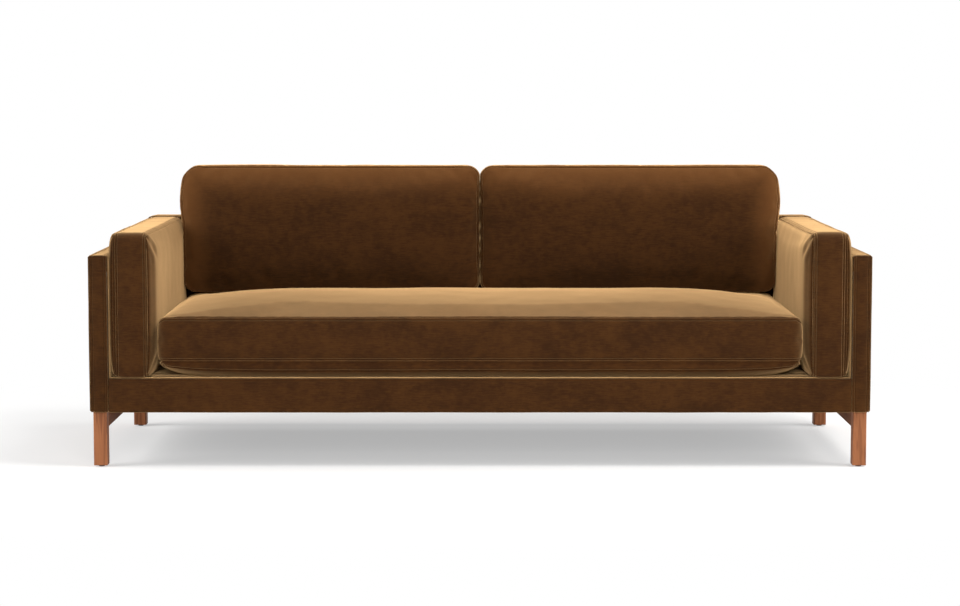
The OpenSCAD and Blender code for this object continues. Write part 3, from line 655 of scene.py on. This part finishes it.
def grid_mesh(name, points, faces, materials):
    mesh = bpy.data.meshes.new(name)
    mesh.from_pydata(points.tolist(), [], faces.tolist())
    for material in materials:
        mesh.materials.append(material)
    mesh.shade_smooth()
    return mesh


def mesh_points(mesh):
    points = np.empty(len(mesh.vertices) * 3)
    mesh.vertices.foreach_get("co", points)
    return points.reshape(-1, 3)


def mesh_normals(mesh):
    normals = np.empty(len(mesh.vertices) * 3)
    mesh.vertex_normals.foreach_get("vector", normals)
    return normals.reshape(-1, 3)


def set_points(mesh, points):
    mesh.vertices.foreach_set("co", points.ravel())
    mesh.update()


def soft_noise(points, size, seed):
    offset = Vector((seed, 2 * seed, 3 * seed))
    return np.array([noise.noise(Vector(p) / size + offset) for p in points.tolist()])


def settled_shape(spec, cushion):
    """The cushion's points once its cover has settled: it wrinkles freely and swells within limits."""
    coarse = Cushion(spec, CLOTH_RINGS, CLOTH_STEP)
    moved = cushion.take(coarse, settle(coarse, spec["loose"]))
    length = np.linalg.norm(moved, axis=1, keepdims=True)
    moved *= np.minimum(1, spec["swell"] / np.maximum(length, TINY))
    points = cushion.points + moved
    low, high = spec["room"]
    return np.clip(points, low, high)


def zip_recess(cushion):
    """How deep each point lies in the slot that holds the zip, from 0 to 1."""
    x, y, z = cushion.points.T
    across = np.abs(z - cushion.low - cushion.boxing / 2)
    share = np.clip((ZIP_HALF_W + ZIP_LIP / 2 - across) / ZIP_LIP, 0, 1)
    ends = np.clip((ZIP_SHARE * cushion.a + ZIP_LIP - np.abs(x)) / ZIP_LIP, 0, 1)
    side = y * cushion.zip_side > cushion.b - ZIP_SIDE_BAND
    return share * ends * side


def build_cushion(name, spec, place, material):
    """Makes a cushion's mesh, works its surface and puts it in its place on the sofa."""
    cushion = Cushion(spec)
    slot = zip_recess(cushion)
    calm = np.clip(1 - ZIP_CALM * slot, 0, 1)
    near_zip = (cushion.points[:, 1] * cushion.zip_side > cushion.b - ZIP_SIDE_BAND)[:, None]
    shape = np.where(near_zip, cushion.points, settled_shape(spec, cushion))
    mesh = grid_mesh(name, shape, cushion.faces, [material])
    rest = cushion.points[:, 2] < REST_BAND
    normals = mesh_normals(mesh)
    slack = WAVES * soft_noise(cushion.points, WAVE_SIZE, cushion.seed)
    slack += RIPPLES * soft_noise(cushion.points, RIPPLE_SIZE, cushion.seed + RIPPLE_SEED)
    relief = seam_relief(cushion.seam_distance, CUSHION_SEAM, CUSHION_STITCH)
    relief += (cushion.puckers() + slack) * calm
    relief[rest] = np.minimum(relief[rest], 0)
    points = shape + normals * relief[:, None]
    core_a, core_b, core_top = cushion.a - CORE_INSET, cushion.b - CORE_INSET, cushion.low + cushion.boxing
    over = ((np.abs(points[:, 0]) < core_a) & (np.abs(points[:, 1]) < core_b)
            & (cushion.points[:, 2] > core_top - cushion.boxing / 2))
    points[over, 2] = np.maximum(points[over, 2], core_top + CORE_CLEAR)
    points[:, 1] -= cushion.zip_side * ZIP_DEPTH * slot
    points[:, 2] = np.maximum(points[:, 2], 0)
    set_points(mesh, place(points))
    obj = add_object(name, mesh)
    if mesh_volume_sign(mesh) < 0:
        mesh.flip_normals()
    return obj


def mesh_volume_sign(mesh):
    points = mesh_points(mesh)
    total = 0.0
    for face in mesh.polygons:
        p = points[list(face.vertices)]
        total += float(np.dot(p[0], np.cross(p[1], p[2])))
    return total


# The cushions, where the frame holds them. Sizes in metres, as in the part's source

SEAT_LOW, SEAT_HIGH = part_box("seat_cushion_cover")
PAD_LOW, PAD_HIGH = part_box("arm_pad_cover_right")
BACK_LOW, BACK_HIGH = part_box("back_cushion_cover_right")


def at_seat(points):
    u, v, w = points.T
    return np.stack([u, v + (SEAT_LOW.y + SEAT_HIGH.y) / 2, w + SEAT_LOW.z], -1)


def at_back(side):
    def place(points):
        u, v, w = points.T
        return np.stack([side * (u + (BACK_LOW.x + BACK_HIGH.x) / 2), BACK_HIGH.y - w,
                         v + (BACK_LOW.z + BACK_HIGH.z) / 2], -1)
    return place


def at_arm(side):
    def place(points):
        u, v, w = points.T
        return np.stack([side * (PAD_HIGH.x - w), (PAD_LOW.y + PAD_HIGH.y) / 2 - u,
                         v + (PAD_LOW.z + PAD_HIGH.z) / 2], -1)
    return place


# Each cushion's low seam, boxing, corners and the reach of its crown
SEAT_SEAM, SEAT_BOXING, SEAT_CORNER, SEAT_REACH = 49.5 * MM, 129 * MM, 36 * MM, 400 * MM
BACK_SEAM, BACK_BOXING, BACK_CORNER, BACK_REACH = 34 * MM, 120 * MM, 52 * MM, 200 * MM
PAD_SEAM, PAD_BOXING, PAD_CORNER, PAD_REACH = 19 * MM, 92 * MM, 30 * MM, 170 * MM
SEAT_CROWN = 53 * MM
BACK_LOW_CORNER, BACK_INNER_CORNER, PAD_LOW_CORNER = 40 * MM, 38 * MM, 10 * MM
BACK_LAW = (2, 0.6)
BACK_LEAN, BACK_BULGE, BACK_MEET = 0.05, 9 * MM, 0.9 * MM
PINCH = 3 * MM
SEAT_PUCKER, BACK_PUCKER, PAD_PUCKER = 0.35 * MM, 0.8 * MM, 0.3 * MM

# How far a cover may move as it settles, its share of shrinkage, which is extra cloth below 0, and how full
# its cushion is
SWELL, PAD_SWELL = 4 * MM, 3 * MM
SEAT_SLACK, BACK_SLACK, PAD_SLACK = -0.003, -0.012, 0.0
SEAT_FILL, BACK_FILL, PAD_FILL = 0.85, 0.75, 0.85

# How far a settling cover may go past its cushion's frame
SEAT_FRONT_ROOM, BACK_SIDE_ROOM, BACK_TOP_ROOM, PAD_FRONT_ROOM = 2 * MM, 3 * MM, 1 * MM, 2 * MM


def seat_spec():
    a, b = (SEAT_HIGH.x - SEAT_LOW.x) / 2, (SEAT_HIGH.y - SEAT_LOW.y) / 2
    back_middle = BACK_SEAM + BACK_BOXING + (BACK_HIGH.y - BACK_LOW.y - BACK_SEAM - BACK_BOXING) / 2
    return {
        "size": (a, b, SEAT_SEAM, SEAT_BOXING, SEAT_CROWN - SWELL),
        "shape": (SEAT_CORNER, SEAT_CORNER, SEAT_REACH, SIDE_PULL, PINCH),
        "law": DOME_LAW, "fallen": b - back_middle, "droop": True, "seed": 3, "zip_side": 1,
        "swell": SWELL, "loose": SEAT_SLACK, "pucker": SEAT_PUCKER,
        "room": ((-a, -b - SEAT_FRONT_ROOM, 0), (a, b, 1))
    }


def back_spec(side):
    a, b = (BACK_HIGH.x - BACK_LOW.x) / 2, (BACK_HIGH.z - BACK_LOW.z) / 2
    crown = BACK_HIGH.y - BACK_LOW.y - BACK_SEAM - BACK_BOXING - SWELL
    return {
        "size": (a, b, BACK_SEAM, BACK_BOXING, crown),
        "shape": (BACK_CORNER, BACK_LOW_CORNER, BACK_REACH, 0, PINCH), "inner_corner": BACK_INNER_CORNER,
        "law": BACK_LAW, "top": (0, BACK_LEAN, BACK_BULGE, BACK_MEET), "seed": 12 + side, "zip_side": -1,
        "swell": SWELL, "loose": BACK_SLACK, "pucker": BACK_PUCKER,
        "room": ((-a - BACK_MEET, -b, 0), (a + BACK_BULGE + BACK_SIDE_ROOM, b + BACK_TOP_ROOM, 1))
    }


def pad_spec(side):
    a, b = (PAD_HIGH.y - PAD_LOW.y) / 2, (PAD_HIGH.z - PAD_LOW.z) / 2
    crown = PAD_HIGH.x - PAD_LOW.x - PAD_SEAM - PAD_BOXING
    return {
        "size": (a, b, PAD_SEAM, PAD_BOXING, crown),
        "shape": (PAD_CORNER, PAD_LOW_CORNER, PAD_REACH, 0, PINCH), "seed": 22 + side, "zip_side": -1,
        "swell": PAD_SWELL, "loose": PAD_SLACK, "pucker": PAD_PUCKER,
        "room": ((-a, -b, 0), (a + PAD_FRONT_ROOM, b, 1))
    }


def make_cushions(velvet):
    # The back cushions get the velvet with painted sheen at their tops and outer sides
    velvet_with_painted_sheen = velvet_material("velvet_brushed_up", True)
    pieces = [("seat_cushion", "", seat_spec(), at_seat, SEAT_FILL)]
    for name, side in SIDES.items():
        pieces.append(("back_cushion", "_" + name, back_spec(side), at_back(side), BACK_FILL))
        pieces.append(("arm_pad", "_" + name, pad_spec(side), at_arm(side), PAD_FILL))
    for kind, side, spec, place, fill in pieces:
        obj = build_cushion(f"{kind}_velvet{side}", spec, place, velvet_with_painted_sheen if kind == "back_cushion" else velvet)
        dress(obj, kind + side, "velvet", f"{kind}_cover{side}")


def dress(obj, body, slot, *nodes):
    """Sets a piece on its body and hides the CAD nodes that it stands for. Its finish (slot) is not used."""
    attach(obj, body)
    if nodes:
        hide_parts(*nodes)


def finish_nodes():
    """Gives each CAD node that shows or could show its own finish."""
    walnut_up = wood_material("walnut_upright", WALNUT_DARK, WALNUT_LIGHT, 2, 0.55)
    walnut_along = wood_material("walnut_rail", WALNUT_DARK, WALNUT_DARK_LIGHT, 1, 0.75)
    timber = [wood_material(f"frame_timber_{axis}", TIMBER_DARK, TIMBER_LIGHT, k, 0.65)
              for k, axis in enumerate("xyz")]
    plain = {name: grainy_material(name, *look) for name, look in PLAIN_LOOKS.items()}
    foam, bolt, spring = plain["foam"], plain["bolt_steel"], plain["spring_steel"]
    finishes = [
        ("leg_rail", walnut_along), ("leg_dowels", timber[1]), ("leg_bolts", bolt),
        ("leg_glides", plain["glide_plastic"]), ("leg_", walnut_up), ("front_rail", timber[0]),
        ("back_rail", timber[0]), ("side_rail", timber[1]), ("seat_bearers", timber[1]),
        ("corner_blocks", timber[0]), ("arm_rail", timber[1]), ("arm_posts", timber[2]),
        ("arm_top_rail", timber[1]), ("arm_foam", foam), ("back_bottom_rail", timber[0]),
        ("back_top_rail", timber[0]), ("back_posts", timber[2]), ("back_webbing", plain["webbing"]),
        ("back_foam", foam), ("back_board", plain["back_board"]), ("deck_pad", foam),
        ("dust_cover", plain["dust_cloth"]), ("frame_bolts", bolt), ("seat_springs", spring),
        ("spring_", spring), ("_core", foam), ("_slider", plain["zip_metal"]), ("_zip", plain["zip_tape"])
    ]
    for name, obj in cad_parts.items():
        found = [material for key, material in finishes if key in name]
        if found:
            obj.data.materials.clear()
            obj.data.materials.append(found[0])


# Upholstered panels: padded timber with soft edges, sewn near the edges of their narrow faces

# A soft box's mesh: the turns of its round edges, its rings beside a seam, and its longest and shortest step
EDGE_TURNS = np.radians([45, 36, 27, 18, 9, 0])
SEAM_MARKS = np.array([0, 0.8, 1.7, 2.6, 3.4, 4.1, 4.8, 5.5, 6.2, 7.2]) * MM
PANEL_STEP, LEAST_STEP = 22 * MM, 0.3 * MM

# A point of the box lies off the flat faces where its way from the inner box, in radii, adds up to more
PAST_FLAT = 1.001

EDGE_R, PANEL_R, DECK_R, BACK_ROUND = 7 * MM, 7.5 * MM, 1 * MM, 22 * MM
SEAM_INSET = 7.5 * MM
BASE_D, FLAP_T, BASE_TUCK = 39 * MM, 4 * MM, 5 * MM
BILLOW, BILLOW_SIZE, PANEL_RIPPLE_SIZE = 0.8 * MM, 0.16, 0.05
PANEL_RIPPLE_SEED = 3


def box_marks(low, high, radius, seams):
    """Places along one side of a soft box: dense at its round edges and at its seams."""
    turn = radius * (1 - np.tan(EDGE_TURNS))
    fixed = [low + turn, high - turn]
    fixed += [seam + side * SEAM_MARKS for seam in seams for side in (-1, 1)]
    marks = np.unique(np.round(np.concatenate(fixed), 6))
    marks = marks[(marks >= low) & (marks <= high)]
    marks = marks[np.concatenate([[True], np.diff(marks) > LEAST_STEP])]
    marks[-1] = high
    filled = [marks[:1]]
    for a, b in zip(marks, marks[1:]):
        count = max(1, math.ceil((b - a) / PANEL_STEP))
        filled.append(np.linspace(a, b, count + 1)[1:])
    return np.concatenate(filled)


def soft_box(name, low, high, seam_axis, seams, material, radius=EDGE_R, shape=None, quiet=(), seed=0):
    """A closed box with round edges, seams in planes across one axis, and faces that billow a little.
    The quiet faces, each an axis and a side, lie against other pieces and don't billow outwards."""
    low, high = np.array(low), np.array(high)
    marks = [box_marks(low[k], high[k], radius, seams if k == seam_axis else ()) for k in range(3)]
    points, faces, count = [], [], 0
    for k in range(3):
        i, j = (k + 1) % 3, (k + 2) % 3
        p, q = np.meshgrid(marks[i], marks[j], indexing="ij")
        rows, columns = p.shape
        a, b = np.meshgrid(np.arange(rows - 1), np.arange(columns - 1), indexing="ij")
        at, beside = a * columns + b, (a + 1) * columns + b
        quad = np.stack([at, beside, beside + 1, at + 1], -1).reshape(-1, 4)
        for level, order in ((low[k], -1), (high[k], 1)):
            face = np.empty(p.shape + (3,))
            face[..., i], face[..., j], face[..., k] = p, q, level
            points.append(face.reshape(-1, 3))
            faces.append(quad[:, ::order] + count)
            count += p.size
    points, faces = np.concatenate(points), np.concatenate(faces)
    unique, index = np.unique(np.round(points, 6), axis=0, return_inverse=True)
    points, faces = unique, index.reshape(-1)[faces]
    inner = np.clip(points, low + radius, high - radius)
    away = points - inner
    length = np.linalg.norm(away, axis=1, keepdims=True)
    on_edge = np.abs(away / radius).sum(1) > PAST_FLAT
    points = np.where(on_edge[:, None], inner + radius * away / np.maximum(length, TINY), points)
    if shape is not None:
        points = shape(points)
    mesh = grid_mesh(name, points, faces, [material])
    relief = np.zeros(len(points))
    for seam in seams:
        relief += seam_relief(np.abs(points[:, seam_axis] - seam), PANEL_SEAM, PANEL_STITCH)
    relief += BILLOW * soft_noise(points, BILLOW_SIZE, seed)
    relief += RIPPLES / 2 * soft_noise(points, PANEL_RIPPLE_SIZE, seed + PANEL_RIPPLE_SEED)
    for axis, side in quiet:
        gap = (high[axis] - points[:, axis]) if side > 0 else (points[:, axis] - low[axis])
        relief = np.where(gap < 2 * radius, np.minimum(relief, 0), relief)
    set_points(mesh, points + mesh_normals(mesh) * relief[:, None])
    return add_object(name, mesh)


def make_arm_panels(velvet):
    for name, side in SIDES.items():
        low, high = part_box(f"arm_panel_cover_{name}")
        seams = (low.x + SEAM_INSET, high.x - SEAM_INSET)
        obj = soft_box(f"arm_panel_velvet_{name}", low, high, 0, seams, velvet, radius=PANEL_R,
                       quiet=((0, -side), (2, -1)), seed=31 + side)
        dress(obj, "frame", "velvet", f"arm_panel_cover_{name}")


def make_back(velvet):
    low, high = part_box("back_cover")
    seams = (low.y + SEAM_INSET, high.y - SEAM_INSET)
    corner = Vector(((high.x - low.x) / 2, 0, (high.z - low.z) / 2))
    middle = (low.z + high.z) / 2

    def round_top(points):
        x, z = round_corners(points[:, 0], points[:, 2] - middle, corner.x, corner.z, BACK_ROUND)
        out = points.copy()
        top = points[:, 2] > middle
        out[top, 0], out[top, 2] = x[top], z[top] + middle
        return out

    obj = soft_box("back_velvet", low, high, 1, seams, velvet, shape=round_top,
                   quiet=((0, -1), (0, 1), (1, -1)), seed=41)
    dress(obj, "frame", "velvet", "back_cover")


def make_base(velvet):
    """The velvet over the front rail, with the flap that lies on the deck behind it."""
    low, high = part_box("base_cover")
    low.x, high.x = low.x - BASE_TUCK, high.x + BASE_TUCK
    rail_y = low.y + BASE_D

    def flap(points):
        out = points.copy()
        behind = points[:, 1] > rail_y
        share = (high.z - points[behind, 2]) / (high.z - low.z)
        out[behind, 2] = high.z - FLAP_T * share
        return out

    obj = soft_box("base_velvet", low, high, 1, (rail_y,), velvet, shape=flap,
                   quiet=((0, -1), (0, 1), (2, 1)), seed=51)
    dress(obj, "frame", "velvet", "base_cover")


def make_deck(velvet):
    low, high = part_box("deck_cover")
    obj = soft_box("deck_velvet", low, high, 0, (), velvet, radius=DECK_R,
                   quiet=((2, 1), (2, -1), (0, 1), (0, -1)), seed=61)
    dress(obj, "frame", "velvet", "deck_cover")


def set_view():
    bpy.context.scene.view_settings.view_transform = "Standard"


set_view()
make_camera()
make_world()
make_floor()
make_lights()
finish_nodes()
velvet = velvet_material("velvet")
make_arm_panels(velvet)
make_back(velvet)
make_base(velvet)
make_deck(velvet)
make_cushions(velvet)
